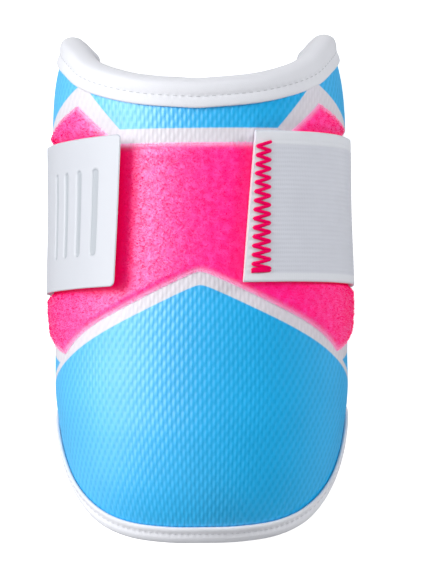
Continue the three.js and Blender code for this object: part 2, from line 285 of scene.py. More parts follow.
def move_points(piece, places):
    piece.data.vertices.foreach_set("co", np.asarray(places, np.float32).ravel())
    piece.data.update()


def keep_pattern(piece, flat):
    """Writes the flat pattern places, in millimetres, to the piece's own UV map."""
    layers = piece.data.uv_layers
    layer = layers[0] if layers else layers.new()
    layer.name = "pattern"
    corners = np.empty(len(piece.data.loops), int)
    piece.data.loops.foreach_get("vertex_index", corners)
    layer.uv.foreach_set("vector", np.asarray(flat, np.float32)[corners, :2].ravel())


def faces_down(piece):
    """Which faces of a flat slab look down, and so become the inner face."""
    normals = np.empty(3 * len(piece.data.polygons), np.float32)
    piece.data.polygons.foreach_get("normal", normals)
    return normals.reshape(-1, 3)[:, 2] < -0.5


def dress(piece, materials, cad_node, sharp_angle=50):
    """Smooth shading, materials, a place under the root body, and the CAD node that the piece stands for,
    which it hides.
    """
    bpy.ops.object.select_all(action="DESELECT")
    piece.select_set(True)
    bpy.context.view_layer.objects.active = piece
    bpy.ops.object.shade_smooth_by_angle(angle=math.radians(sharp_angle))
    for material in materials:
        piece.data.materials.append(material)
    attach(piece, "root")
    if cad_node:
        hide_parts(cad_node)


def step_up(tree, value, low, high):
    """0 below low and 1 above high, with a smooth rise between."""
    inputs = {"Value": value, "From Min": low, "From Max": high}
    return node(tree, "ShaderNodeMapRange", inputs, interpolation_type="SMOOTHSTEP").outputs[0]


def pattern_axes(tree):
    """The pattern place of a point, as a vector and as its two lengths in millimetres."""
    place = node(tree, "ShaderNodeUVMap", uv_map="pattern").outputs[0]
    parts = node(tree, "ShaderNodeSeparateXYZ", {0: place})
    return place, parts.outputs[0], parts.outputs[1]


def group(name, inputs, outputs):
    """An empty shader node group with number inputs and outputs, and its two end nodes."""
    tree = bpy.data.node_groups.new(name, "ShaderNodeTree")
    for socket, kind in inputs.items():
        tree.interface.new_socket(socket, in_out="INPUT", socket_type=kind)
    for socket in outputs:
        tree.interface.new_socket(socket, in_out="OUTPUT", socket_type="NodeSocketFloat")
    return tree, node(tree, "NodeGroupInput").outputs, node(tree, "NodeGroupOutput").inputs


def mottle_group():
    """Uneven dye and loose fibre: a slow and a quick noise over the pattern."""
    inputs = {"Place": "NodeSocketVector", "Patch": "NodeSocketFloat", "Fibre": "NodeSocketFloat"}
    tree, given, out = group("fabric_mottle", inputs, ["Patches", "Fibres"])
    for name, size, detail in (("Patches", "Patch", 2), ("Fibres", "Fibre", 3)):
        scale = maths(tree, "DIVIDE", 1.0, given[size])
        settings = {"Vector": given["Place"], "Scale": scale, "Detail": detail}
        noise = node(tree, "ShaderNodeTexNoise", settings)
        tree.links.new(noise.outputs[0], out[name])
    return tree


fabric_mottle = mottle_group()


def use_group(tree, made, **inputs):
    placed = node(tree, "ShaderNodeGroup", node_tree=made)
    for name, value in inputs.items():
        if isinstance(value, bpy.types.NodeSocket):
            tree.links.new(value, placed.inputs[name])
        else:
            placed.inputs[name].default_value = value
    return placed.outputs


# Print of the cover, in pattern millimetres: white bands that follow the edge of the loop panel.
MESH_ACROSS, MESH_UP = 2.98, 4.18  # repeat of the knitted mesh
KNIT = {"rising": 0.42, "falling": 0.12, "ribs": 0.4}  # heights of the slanted and upright ridges
HOLE_PAINTED_SHADE, HOLE_DULL = 0.07, 0.3  # painted shade: the small holes of the mesh are painted darker, and reflect less
RIDGE_PAINTED_SHADE = 0.05  # painted light and shade: the slanted ridges are painted lighter and the grooves between them darker, as a side light shows them
BLUE_DYE = (0.004, 0.46, 0.91, 1)
WHITE_PRINT = (0.68, 0.66, 0.72, 1)
WHITE_GLOSS = 0.35  # the unprinted yarn is duller than the dyed one
PRINT_EDGE = 0.22  # softness of the printed edges
TOP_PANEL = {"level": 53.1, "corner": 28.9, "slope": 1.0}
SIDE_PANEL = {"tip": 49.0, "along": 67.8, "fall": 0.46}
CHEVRON = {"peak": 1.2, "slope": 0.455, "rounding": 2}
LOOP_CHEVRON = {"peak": 5.5, "slope": 0.452, "rounding": 2, "point_at": 57.5, "rise": 0.23}
LOOP_CURL = {"from": 34, "share": 0.0046}  # the chevron steepens towards its points
BAND_WIDTH = 4.2


def loop_bottom(around):
    """Lower edge of the loop panel in the pattern."""
    reach = np.abs(around)
    peak, slope, rounding, point_at, rise = LOOP_CHEVRON.values()
    run = np.hypot(np.minimum(reach, point_at), rounding) - rounding
    curl = LOOP_CURL["share"] * np.maximum(run - LOOP_CURL["from"], 0) ** 2
    return peak - slope * run - curl + rise * np.maximum(reach - point_at, 0)


def chevron_line(tree, reach, peak, slope, rounding):
    """A line that falls to both sides from a rounded peak."""
    squared = maths(tree, "MULTIPLY_ADD", reach, reach, rounding**2)
    run = maths(tree, "SUBTRACT", maths(tree, "SQRT", squared), rounding)
    return maths(tree, "MULTIPLY_ADD", run, -slope, peak)


def printed_mesh():
    material, tree, surface = new_material("printed_mesh", Roughness=0.55, IOR=1.92)
    place, around, along = pattern_axes(tree)
    reach = maths(tree, "ABSOLUTE", around)

    def over(line):
        return step_up(tree, maths(tree, "SUBTRACT", along, line), -PRINT_EDGE, PRINT_EDGE)

    def under(line):
        return step_up(tree, maths(tree, "SUBTRACT", line, along), -PRINT_EDGE, PRINT_EDGE)

    def straight(slope, at, level):
        return maths(tree, "MULTIPLY_ADD", reach, slope, level - slope * at)

    top = TOP_PANEL
    top_side = over(straight(top["slope"], top["corner"], top["level"]))
    top_panel = maths(tree, "MULTIPLY", over(top["level"]), top_side)
    side_panel = over(straight(-SIDE_PANEL["fall"], SIDE_PANEL["tip"], SIDE_PANEL["along"]))
    elbow_panel = under(chevron_line(tree, reach, **CHEVRON))
    point_at = LOOP_CHEVRON["point_at"]
    point_along = float(loop_bottom(point_at))
    sliver_top = straight(LOOP_CHEVRON["rise"], point_at, point_along - BAND_WIDTH)
    sliver_side = straight(-LOOP_CHEVRON["slope"], point_at, point_along)
    side_sliver = maths(tree, "MULTIPLY", under(sliver_top), over(sliver_side))
    blue = maths(tree, "MAXIMUM", top_panel, side_panel)
    blue = maths(tree, "MAXIMUM", blue, elbow_panel)
    blue = maths(tree, "MAXIMUM", blue, side_sliver)

    turn = 2 * math.pi
    across = maths(tree, "MULTIPLY", around, turn / MESH_ACROSS)
    up = maths(tree, "MULTIPLY", along, turn / MESH_UP)
    rising = maths(tree, "COSINE", maths(tree, "SUBTRACT", across, up))
    falling = maths(tree, "COSINE", maths(tree, "ADD", across, up))
    ribs = maths(tree, "COSINE", maths(tree, "MULTIPLY", across, 2.0))
    knit = maths(tree, "MULTIPLY", rising, KNIT["rising"])
    knit = maths(tree, "MULTIPLY_ADD", falling, KNIT["falling"], knit)
    knit = maths(tree, "MULTIPLY_ADD", ribs, KNIT["ribs"], knit)
    holes = step_up(tree, maths(tree, "ADD", rising, falling), 0.5, -1.7)
    mottle = use_group(tree, fabric_mottle, Place=place, Patch=14.0, Fibre=0.5)

    colour = blend_colours(tree, blue, WHITE_PRINT, BLUE_DYE)
    dyed = maths(tree, "MULTIPLY_ADD", mottle["Patches"], 0.12, 0.94)
    # Painted shade in the mesh's holes, deeper on the blue than on the white.
    shade_depth = maths(tree, "MULTIPLY_ADD", blue, 0.7, 0.3)
    shaded_holes = maths(tree, "MULTIPLY", holes, shade_depth)
    # Painted light and shade along the slanted ridges, lighter on the ridges and darker in the grooves.
    shaded_ridges = maths(tree, "MULTIPLY", rising, shade_depth)
    shade = maths(tree, "MULTIPLY_ADD", shaded_holes, -HOLE_PAINTED_SHADE, dyed)
    shade = maths(tree, "MULTIPLY_ADD", shaded_ridges, RIDGE_PAINTED_SHADE, shade)
    grey = node(tree, "ShaderNodeCombineColor", {0: shade, 1: shade, 2: shade}).outputs[0]
    colour = blend_colours(tree, 1.0, colour, grey, "MULTIPLY")
    tree.links.new(colour, surface.inputs["Base Color"])

    height = maths(tree, "MULTIPLY_ADD", mottle["Fibres"], 0.3, knit)
    bump = node(tree, "ShaderNodeBump", {"Strength": 1.0, "Distance": 0.00007, "Height": height})
    tree.links.new(bump.outputs[0], surface.inputs["Normal"])
    gloss = maths(tree, "MULTIPLY_ADD", blue, 1 - WHITE_GLOSS, WHITE_GLOSS)
    gloss = maths(tree, "MULTIPLY_ADD", shaded_holes, -HOLE_DULL, gloss)
    tree.links.new(gloss, surface.inputs["Specular IOR Level"])
    return material


# Lining: a plain brushed knit, pale grey, against the arm.
LINING_GREY = (0.50, 0.51, 0.54, 1)


def brushed_lining():
    material, tree, surface = new_material(
        "brushed_lining", Roughness=0.85, Sheen_Weight=0.3, Sheen_Roughness=0.5
    )
    place, _, _ = pattern_axes(tree)
    mottle = use_group(tree, fabric_mottle, Place=place, Patch=9.0, Fibre=0.7)
    dark = tuple(0.82 * channel for channel in LINING_GREY[:3]) + (1,)
    colour = blend_colours(tree, mottle["Patches"], dark, LINING_GREY)
    tree.links.new(colour, surface.inputs["Base Color"])
    bump = node(
        tree, "ShaderNodeBump", {"Strength": 0.6, "Distance": 0.0002, "Height": mottle["Fibres"]}
    )
    tree.links.new(bump.outputs[0], surface.inputs["Normal"])
    return material


pad = flat_grid("pad_cover", *PAD_FACES)
finish_with(pad, "SOLIDIFY", thickness=1, offset=-1)
share = points_of(pad)
pad_around = 2 * SIDE_EDGE * share[:, 0]
pad_along = lerp(bottom_rim(pad_around), top_rim(pad_around), share[:, 1] + 0.5)
pad_flat = np.stack([pad_around, pad_along, share[:, 2] * pad_wall(pad_around, pad_along)], axis=1)
pad_inside = faces_down(pad)
keep_pattern(pad, pad_flat)
move_points(pad, on_shell(pad_flat))
dress(pad, [printed_mesh(), brushed_lining()], "guard_pad")
pad.data.polygons.foreach_set("material_index", pad_inside.astype(np.int32))


# Loop panel. A brushed nylon loop fabric, hot pink, cut as a long hexagon with two ears and two
# points, and bonded round the middle of the cover. Its short curly pile grips the pull tab.
GAP = 0.3
LOOP_WALL = 1.2
LOOP_END = 88
LOOP_TOP = {"level": 48.4, "flat_to": 29.2, "ear_at": 48.3, "ear_along": 61.8, "fall": 0.33}
LOOP_FACES = (330, 100)
LOOP_EDGE = 3.0  # the panel thins towards its cut edge over this distance
LOOP_HEIGHT = 1.2  # of the fabric's face above the cover
PALE_EDGE = 1.25  # width of the cut edge's painted light, which paints it pale
# Painted shadow: beside the tab and the strap's end the pile is painted this deeper, duller pink, where
# their shadows fall.
SHADOW_PINK = (0.80, 0.0, 0.09, 1)
DARK_PINK = (0.80, 0.0, 0.14, 1)
DEEP_PINK = (0.93, 0.0, 0.21, 1)
MID_PINK = (1.0, 0.01, 0.40, 1)
PALE_PINK = (1.0, 0.16, 0.50, 1)
FROST_PINK = (1.0, 0.58, 0.86, 1)
PINK_SHEEN = (1.0, 0.85, 1.0, 1)
PAINTED_GLOW_PINK = (1.0, 0.0, 0.08, 1)
PAINTED_PINK_GLOW = 0.2  # painted glow: a constant emission in place of the dye's fluorescence, which keeps the pink bright in shade too
PRESSED = {"left": -29.5, "right": 18.5, "half_width": 24.2}  # under the tab and the strap
TAB_SHADOW = {"reach": 6.5, "lean": 0.05, "share": 1.0}  # painted shadow beside the tab, where its free end stands off the pile
STRAP_SHADOW = {"reach": 6.0, "lean": 0.1, "share": 0.65}  # and beside the strap's end
SHADOW_FADE_ABOVE, SHADOW_FADE_BELOW = 4, 2.2  # how much faster it fades past their long edges
PILE_COUNT, FRINGE_COUNT = 16500, 2200  # on the panel, and along its cut edges
PILE_LENGTH = (0.5, 1.15)
PILE_THREAD = 0.06  # radius at the foot
PILE_SEED = 11


def loop_top(around):
    reach = np.abs(around)
    run = LOOP_TOP["ear_at"] - LOOP_TOP["flat_to"]
    ear = lerp(LOOP_TOP["level"], LOOP_TOP["ear_along"], np.clip((reach - LOOP_TOP["flat_to"]) / run, 0, 1))
    return ear - LOOP_TOP["fall"] * np.maximum(reach - LOOP_TOP["ear_at"], 0)


def loop_fleece():
    material, tree, surface = new_material(
        "loop_fleece",
        Roughness=0.5,
        IOR=1.9,
        Specular_Tint=PINK_SHEEN,
        Sheen_Roughness=0.4,
        Sheen_Tint=PINK_SHEEN,
        Emission_Color=PAINTED_GLOW_PINK,
    )
    place, _, _ = pattern_axes(tree)
    mottle = use_group(tree, fabric_mottle, Place=place, Patch=2.6, Fibre=0.7)
    tufts = step_up(tree, mottle["Patches"], 0.36, 0.64)
    curl = step_up(tree, mottle["Fibres"], 0.35, 0.65)
    colour = blend_colours(tree, maths(tree, "MULTIPLY_ADD", tufts, 0.5, 0.4), DEEP_PINK, MID_PINK)
    tips = maths(tree, "MULTIPLY", maths(tree, "MULTIPLY", tufts, curl), 0.25)
    colour = blend_colours(tree, tips, colour, PALE_PINK)
    speck = maths(tree, "MULTIPLY", step_up(tree, mottle["Fibres"], 0.42, 0.3), 0.45)
    colour = blend_colours(tree, speck, colour, DARK_PINK)
    # Painted shadow beside the tab and the strap's end: a deeper pink, with less gloss and sheen there.
    shadow_share = node(tree, "ShaderNodeAttribute", attribute_name="shadow_share").outputs["Fac"]
    colour = blend_colours(tree, shadow_share, colour, SHADOW_PINK)
    # Painted light along the cut edge: it is painted pale, which lifts the shade of its sloping rim.
    pale_rim = node(tree, "ShaderNodeAttribute", attribute_name="pale_rim").outputs["Fac"]
    colour = blend_colours(tree, pale_rim, colour, FROST_PINK)
    tree.links.new(colour, surface.inputs["Base Color"])
    # The painted glow, which fades along the cut edge.
    glow = maths(tree, "MULTIPLY_ADD", pale_rim, -PAINTED_PINK_GLOW, PAINTED_PINK_GLOW)
    tree.links.new(glow, surface.inputs["Emission Strength"])
    unshadowed = maths(tree, "SUBTRACT", 1.0, shadow_share)
    gloss = maths(tree, "MULTIPLY", maths(tree, "MULTIPLY_ADD", tufts, 0.25, 0.8), unshadowed)
    tree.links.new(gloss, surface.inputs["Specular IOR Level"])
    tree.links.new(maths(tree, "MULTIPLY", unshadowed, 0.3), surface.inputs["Sheen Weight"])
    bump = node(
        tree, "ShaderNodeBump", {"Strength": 0.8, "Distance": 0.00012, "Height": mottle["Fibres"]}
    )
    tree.links.new(bump.outputs[0], surface.inputs["Normal"])
    return material


def pressed_flat(around, along):
    """Where the strap and the tab press the pile flat."""
    under_band = np.abs(along - strap_shift(around)) < PRESSED["half_width"]
    return under_band & ((around < PRESSED["left"]) | (around > PRESSED["right"]))


def painted_shadow(around, along):
    """How deep the painted shadow is beside the tab and the strap's end, from 0 to 1."""
    row = along - strap_shift(around)
    past = np.maximum(np.abs(row) - PRESSED["half_width"], 0) * np.where(row > 0, SHADOW_FADE_ABOVE, SHADOW_FADE_BELOW)

    def beside(off_end, reach, share):
        return share * np.exp(-((np.hypot(np.maximum(off_end, 0), past) / reach) ** 2))

    off_tab = around - PRESSED["left"] - TAB_SHADOW["lean"] * row
    off_strap = PRESSED["right"] + STRAP_SHADOW["lean"] * row - around
    by_tab = beside(off_tab, TAB_SHADOW["reach"], TAB_SHADOW["share"])
    by_strap = beside(off_strap, STRAP_SHADOW["reach"], STRAP_SHADOW["share"])
    return np.maximum(by_tab, by_strap)


def pile_roots(random):
    """Places where fibres stand, on the panel and along its edges, and the way that each leans."""
    around = random.uniform(-LOOP_END, LOOP_END, 4 * PILE_COUNT)
    along = random.uniform(loop_bottom(LOOP_CHEVRON["point_at"]), LOOP_TOP["ear_along"], 4 * PILE_COUNT)
    inside = (along > loop_bottom(around)) & (along < loop_top(around))
    # Fewer fibres are kept under the painted shadow.
    unshadowed = painted_shadow(around, along) < random.uniform(0.5, 1.1, len(along))
    keep = np.flatnonzero(inside & unshadowed & ~pressed_flat(around, along))[:PILE_COUNT]
    lean = random.uniform(0, 2 * math.pi, len(keep))
    edge_around = random.uniform(-LOOP_END, LOOP_END, 2 * FRINGE_COUNT)
    upper = random.uniform(0, 1, 2 * FRINGE_COUNT) < 0.5
    edge_along = np.where(upper, loop_top(edge_around) - 0.7, loop_bottom(edge_around) + 0.7)
    edge_lean = np.where(upper, 0.5, -0.5) * math.pi + random.normal(0, 0.6, 2 * FRINGE_COUNT)
    edge_keep = np.flatnonzero(~pressed_flat(edge_around, edge_along))[:FRINGE_COUNT]
    around = np.append(around[keep], edge_around[edge_keep])
    along = np.append(along[keep], edge_along[edge_keep])
    return np.stack([around, along], axis=1), np.append(lean, edge_lean[edge_keep])


def pile_fibres():
    """Points and faces of the pile: each fibre is a thin three-sided thread with one curl."""
    random = np.random.default_rng(PILE_SEED)
    root, lean = pile_roots(random)
    count = len(root)
    length = random.uniform(*PILE_LENGTH, count)[:, None]
    bent = lean + random.normal(0, 0.9, count)
    first = np.stack([np.cos(lean), np.sin(lean)], axis=1)
    second = np.stack([np.cos(bent), np.sin(bent)], axis=1)
    edge = np.minimum(root[:, 1] - loop_bottom(root[:, 0]), loop_top(root[:, 0]) - root[:, 1])
    foot = 0.05 + (LOOP_HEIGHT - 0.1) * smooth_step(edge, -0.2, LOOP_EDGE)[:, None]
    rise = random.uniform(0.35, 0.8, count)[:, None] * smooth_step(edge, -1.5, LOOP_EDGE)[:, None]
    middle = root + 0.35 * length * first
    end = middle + 0.4 * length * second
    spine = np.stack([
        np.hstack([root, foot]),
        np.hstack([middle, foot + rise * length * 0.8]),
        np.hstack([end, foot + rise * length]),
    ], axis=1)
    across = np.column_stack([-first[:, 1], first[:, 0], np.zeros(count)])
    points = []
    for k in range(3):
        turn = 2 * math.pi * k / 3
        ring = PILE_THREAD * (math.cos(turn) * across + math.sin(turn) * np.array([0, 0, 1.0]))
        points.append(spine[:, :2] + ring[:, None] * np.array([[1.0], [0.8]]))
    body = np.stack(points, axis=2).reshape(count, 6, 3)
    flat = np.concatenate([body, spine[:, 2:]], axis=1).reshape(-1, 3)
    faces = [(0, 1, 2)]
    for k in range(3):
        after = (k + 1) % 3
        faces += [(after, k, 3 + k, 3 + after), (3 + after, 3 + k, 6)]
    all_faces = [tuple(7 * fibre + corner for corner in face) for fibre in range(count) for face in faces]
    # Random dye, and painted light at the cut edge, where the fibres are painted pale.
    dye_and_rim_light = random.uniform(0, 0.03, count) + 0.9 * np.exp(-((edge / PALE_EDGE) ** 2))
    return flat, all_faces, np.repeat(dye_and_rim_light, 7)


# The fibres carry the same painted glow as the fleece.
def pile_thread():
    material, tree, surface = new_material(
        "pile_thread",
        Roughness=0.9,
        Specular_IOR_Level=0.1,
        Emission_Color=PAINTED_GLOW_PINK,
        Emission_Strength=PAINTED_PINK_GLOW,
    )
    dye_and_rim_light = node(tree, "ShaderNodeAttribute", attribute_name="dye_and_rim_light").outputs["Fac"]
    colour = blend_colours(tree, dye_and_rim_light, DEEP_PINK, FROST_PINK)
    tree.links.new(colour, surface.inputs["Base Color"])
    return material


def mesh_from(name, points, faces):
    """An object from lists of points and faces, for what repeats too often to make by hand."""
    mesh = bpy.data.meshes.new(name)
    mesh.from_pydata(points, [], faces)
    made = bpy.data.objects.new(name, mesh)
    bpy.context.scene.collection.objects.link(made)
    return made


panel = flat_grid("loop_panel_fabric", *LOOP_FACES)
finish_with(panel, "SOLIDIFY", thickness=1, offset=-1)
share = points_of(panel)
panel_around = 2 * LOOP_END * share[:, 0]
low, high = loop_bottom(panel_around), loop_top(panel_around)
panel_along = lerp(low, high, share[:, 1] + 0.5)
to_edge = np.minimum(panel_along - low, high - panel_along)
to_edge = np.minimum(to_edge, LOOP_END - np.abs(panel_around))
edge_thin = smooth_step(to_edge, -0.2, LOOP_EDGE)
random = np.random.default_rng(7)
ruffle = random.normal(0, 0.03, len(share)) * edge_thin
top_height = 0.08 + (LOOP_HEIGHT - 0.08) * edge_thin + ruffle
panel_flat = np.stack([panel_around, panel_along, np.where(share[:, 2] > -0.5, top_height, 0.05)], axis=1)
# Painted light along the cut edge, which is painted pale.
pale_rim_layer = panel.data.attributes.new("pale_rim", "FLOAT", "POINT")
pale_rim_layer.data.foreach_set("value", np.exp(-((to_edge / PALE_EDGE) ** 2)).astype(np.float32))
# The painted shadow beside the tab and the strap's end.
shadow_layer = panel.data.attributes.new("shadow_share", "FLOAT", "POINT")
shadow_layer.data.foreach_set("value", painted_shadow(panel_around, panel_along).astype(np.float32))
keep_pattern(panel, panel_flat)
move_points(panel, on_shell(panel_flat))
dress(panel, [loop_fleece()], "loop_panel", sharp_angle=45)
fibre_places, fibre_faces, fibre_dye_and_rim_light = pile_fibres()
pile = mesh_from("loop_pile", on_shell(fibre_places), fibre_faces)
pile.data.attributes.new("dye_and_rim_light", "FLOAT", "POINT").data.foreach_set("value", fibre_dye_and_rim_light.astype(np.float32))
dress(pile, [pile_thread()], None, sharp_angle=180)


# Bindings. White knitted tape folded over the edge of the pad and sewn through all layers. The top
# one is rolled over a foam cord, and its seam pulls a dimple at each stitch. The two bands meet
# under the strap on the side edges.
BINDING_SPLIT = 23.8
TAPE_WALL = 1.2
TOP_BAND = {"flange": 7.2, "roll": 0.55, "tip": 3.4}
BOTTOM_BAND = {"flange": 3.8, "roll": 0.5, "tip": 2.8}
SIDE_BAND = {"flange": 2.4, "roll": 0.0, "tip": 1.8}
TOP_BLEND, BOTTOM_BLEND = (84, 100), (44, 66)  # pattern distances over which the bands flatten
SEAM_AT = -0.47  # place of the seam, as a share of the flange
SEAM_DIP = 0.3
HOLE_DIP = 0.35
STITCH_PITCH = 2.5
STEPS_PER_STITCH = 4
STITCH_THREAD = 0.2  # radius
TAPE_WHITE = (0.74, 0.75, 0.80, 1)
# Painted shade: the white sewing thread is painted grey, so that the stitch rows show the shade of their
# stitch holes.
SHADED_THREAD_WHITE = (0.53, 0.54, 0.58, 1)
SHADED_HEM_THREAD_WHITE = (0.60, 0.61, 0.66, 1)


def edge_path(rim_line, side):
    """Evenly spaced places along the bound edge, left to right, and the way out of the pad there."""
    across = SIDE_EDGE * np.sin(np.linspace(-math.pi / 2, math.pi / 2, 4001))
    seam_level = BINDING_SPLIT + side * GAP / 2
    left, right = [(-SIDE_EDGE, seam_level)], [(SIDE_EDGE, seam_level)]
    corners = np.concatenate([left, np.stack([across, rim_line(across)], axis=1), right])
    lengths = np.append(0, np.cumsum(np.linalg.norm(np.diff(corners, axis=0), axis=1)))
    steps = STEPS_PER_STITCH * round(lengths[-1] / STITCH_PITCH)
    at = np.linspace(0, lengths[-1], steps + 1)
    path = np.stack([np.interp(at, lengths, column) for column in corners.T], axis=1)
    for _ in range(12):
        path[1:-1] = (path[:-2] + 2 * path[1:-1] + path[2:]) / 4
    ahead = np.gradient(path, axis=0)
    outward = side * np.stack([-ahead[:, 1], ahead[:, 0]], axis=1)
    return path, outward / np.linalg.norm(outward, axis=1, keepdims=True), at


def band_section(flange, roll, tip, dip):
    """Closed section of a band: rows of the face that it lies on, reach past the edge, and height."""
    top = GAP + TAPE_WALL
    seam = SEAM_AT * flange
    skin = [
        (-flange + 0.5, 0.05),
        (-flange - 0.1, 0.7),
        (-flange + 0.3, top - 0.15),
        (-0.78 * flange, top),
        (seam - 0.7, top - 0.05),
        (seam, top - dip),
        (seam + 0.7, top + 0.35 * roll),
        (0.45 * seam, top + 0.8 * roll),
        (0, top + roll),
        (0.35 * tip, top + 0.75 * roll - 0.15),
        (0.7 * tip, 0.35 * top),
        (0.93 * tip, -0.7 * top),
    ]
    lining = [(0.5, 0.4), (-0.5 * flange, 0.05)]
    front = [("front", *row) for row in skin]
    back = [("back", *row) for row in reversed(skin)]
    inside = [("back", *row) for row in reversed(lining)] + [("front", *row) for row in lining]
    return front + [("middle", tip, 0)] + back + inside


def band_places(path, outward, reach, height, face):
    """Flat pattern places at one row of the band's section."""
    flat = path + outward * np.reshape(reach, (-1, 1))
    wall = pad_wall(np.clip(flat[:, 0], -SIDE_EDGE, SIDE_EDGE), flat[:, 1])
    level = {"front": height, "middle": -wall / 2, "back": -wall - height}[face]
    return np.column_stack([flat, np.broadcast_to(level, len(flat))])


def swept_tube(name, places, lengths):
    """A closed tube through places[section row, step], from a grid rolled up and capped."""
    rows, steps = places.shape[:2]
    tube = flat_grid(name, steps - 1, rows)
    share = points_of(tube)
    step = np.rint((share[:, 0] + 0.5) * (steps - 1)).astype(int)
    row = np.rint((share[:, 1] + 0.5) * rows).astype(int)
    closed = np.concatenate([places, places[:1]])
    girth = np.linalg.norm(np.diff(closed, axis=0), axis=2).mean(axis=1) * 1000
    girth = np.append(0, np.cumsum(girth))
    keep_pattern(tube, np.stack([lengths[step], girth[row]], axis=1))
    move_points(tube, closed[row, step])
    bpy.ops.object.mode_set(mode="EDIT")
    bpy.ops.mesh.select_all(action="SELECT")
    bpy.ops.mesh.remove_doubles(threshold=1e-7)
    bpy.ops.mesh.select_all(action="DESELECT")
    bpy.ops.mesh.select_mode(type="EDGE")
    bpy.ops.mesh.select_non_manifold()
    bpy.ops.mesh.fill_holes(sides=0)
    bpy.ops.mesh.select_all(action="SELECT")
    bpy.ops.mesh.normals_make_consistent(inside=False)
    bpy.ops.object.mode_set(mode="OBJECT")
    return tube


def edge_band(name, rim_line, side, band, blend):
    """Sweeps a band along the pad's edge and returns it with the places of its stitch holes."""
    path, outward, lengths = edge_path(rim_line, side)
    flat_share = smooth_step(np.abs(path[:, 0]), *blend)
    size = {key: lerp(band[key], SIDE_BAND[key], flat_share) for key in band}
    hole = np.arange(len(path)) % STEPS_PER_STITCH == 0
    sections = band_section(**size, dip=SEAM_DIP + HOLE_DIP * hole)
    rows = [on_shell(band_places(path, outward, reach, height, face)) for face, reach, height in sections]
    tube = swept_tube(name, np.stack(rows), lengths)
    finish_with(tube, "SUBSURF", levels=1, render_levels=1)
    seam = SEAM_AT * size["flange"]
    level = GAP + TAPE_WALL - SEAM_DIP - 0.1
    holes = [band_places(path, outward, seam, level, face)[hole] for face in ("front", "back")]
    return tube, holes


def stitch_row(name, rows_of_holes, radius, material):
    """Short threads from hole to hole, as one mesh."""
    sides, rings = 6, [(0.2, 0.35), (0.3, 0.95), (0.5, 1.0), (0.7, 0.95), (0.8, 0.35)]
    turn = np.linspace(0, 2 * math.pi, sides, endpoint=False)
    points, faces = [], []
    for holes in rows_of_holes:
        lifted = holes + np.array([0, 0, 1.0])
        place, up = on_shell(holes), on_shell(lifted) - on_shell(holes)
        up /= np.linalg.norm(up, axis=1, keepdims=True)
        for start, end, rise in zip(place[:-1], place[1:], up[:-1]):
            across = np.cross(end - start, rise)
            across /= np.linalg.norm(across)
            first = len(points)
            for share, thickness in rings:
                centre = lerp(start, end, share) + rise * radius * 0.8 * math.sin(math.pi * share) / 1000
                ring = np.outer(np.cos(turn), across) + np.outer(np.sin(turn), rise)
                points.extend(centre + ring * radius * thickness / 1000)
            for k in range(len(rings) - 1):
                for s in range(sides):
                    a, b = first + k * sides + s, first + k * sides + (s + 1) % sides
                    faces.append((a, b, b + sides, a + sides))
            faces.append(tuple(first + s for s in reversed(range(sides))))
            faces.append(tuple(first + (len(rings) - 1) * sides + s for s in range(sides)))
    stitches = mesh_from(name, points, faces)
    dress(stitches, [material], None)
    return stitches


def knitted_tape(name, colour, rib):
    """White tape: fine lengthwise ribs and a soft uneven shade."""
    material, tree, surface = new_material(
        name, Roughness=0.6, Sheen_Weight=0.2, Sheen_Roughness=0.4
    )
    place, length, girth = pattern_axes(tree)
    mottle = use_group(tree, fabric_mottle, Place=place, Patch=11.0, Fibre=0.35)
    dark = tuple(0.93 * channel for channel in colour[:3]) + (1,)
    shade = blend_colours(tree, mottle["Patches"], dark, colour)
    tree.links.new(shade, surface.inputs["Base Color"])
    ribs = maths(tree, "SINE", maths(tree, "MULTIPLY", girth, 2 * math.pi / rib))
    threads = maths(tree, "SINE", maths(tree, "MULTIPLY", length, 2 * math.pi / (0.8 * rib)))
    knit = maths(tree, "MULTIPLY_ADD", maths(tree, "MULTIPLY", ribs, threads), 0.5, mottle["Fibres"])
    bump = node(tree, "ShaderNodeBump", {"Strength": 0.35, "Distance": 0.0001, "Height": knit})
    tree.links.new(bump.outputs[0], surface.inputs["Normal"])
    return material


def sewing_thread(name, colour):
    material, tree, surface = new_material(name, Roughness=0.5, Specular_IOR_Level=0.2)
    place = node(tree, "ShaderNodeTexCoord").outputs["Object"]
    mottle = use_group(tree, fabric_mottle, Place=place, Patch=0.002, Fibre=0.0003)
    dark = tuple(0.8 * channel for channel in colour[:3]) + (1,)
    shade = blend_colours(tree, mottle["Fibres"], dark, colour)
    tree.links.new(shade, surface.inputs["Base Color"])
    bump = node(
        tree, "ShaderNodeBump", {"Strength": 0.5, "Distance": 0.00015, "Height": mottle["Fibres"]}
    )
    tree.links.new(bump.outputs[0], surface.inputs["Normal"])
    return material


white_tape = knitted_tape("white_tape", TAPE_WHITE, 0.9)
shaded_white_thread = sewing_thread("shaded_white_thread", SHADED_THREAD_WHITE)
collar, collar_holes = edge_band("top_collar", top_rim, 1, TOP_BAND, TOP_BLEND)
dress(collar, [white_tape], "top_binding", sharp_angle=80)
stitch_row("collar_stitches", collar_holes, STITCH_THREAD, shaded_white_thread)
hem, hem_holes = edge_band("bottom_hem", bottom_rim, -1, BOTTOM_BAND, BOTTOM_BLEND)
dress(hem, [white_tape], "bottom_binding", sharp_angle=80)
shaded_hem_thread = sewing_thread("shaded_hem_thread", SHADED_HEM_THREAD_WHITE)
stitch_row("hem_stitches", hem_holes, STITCH_THREAD, shaded_hem_thread)


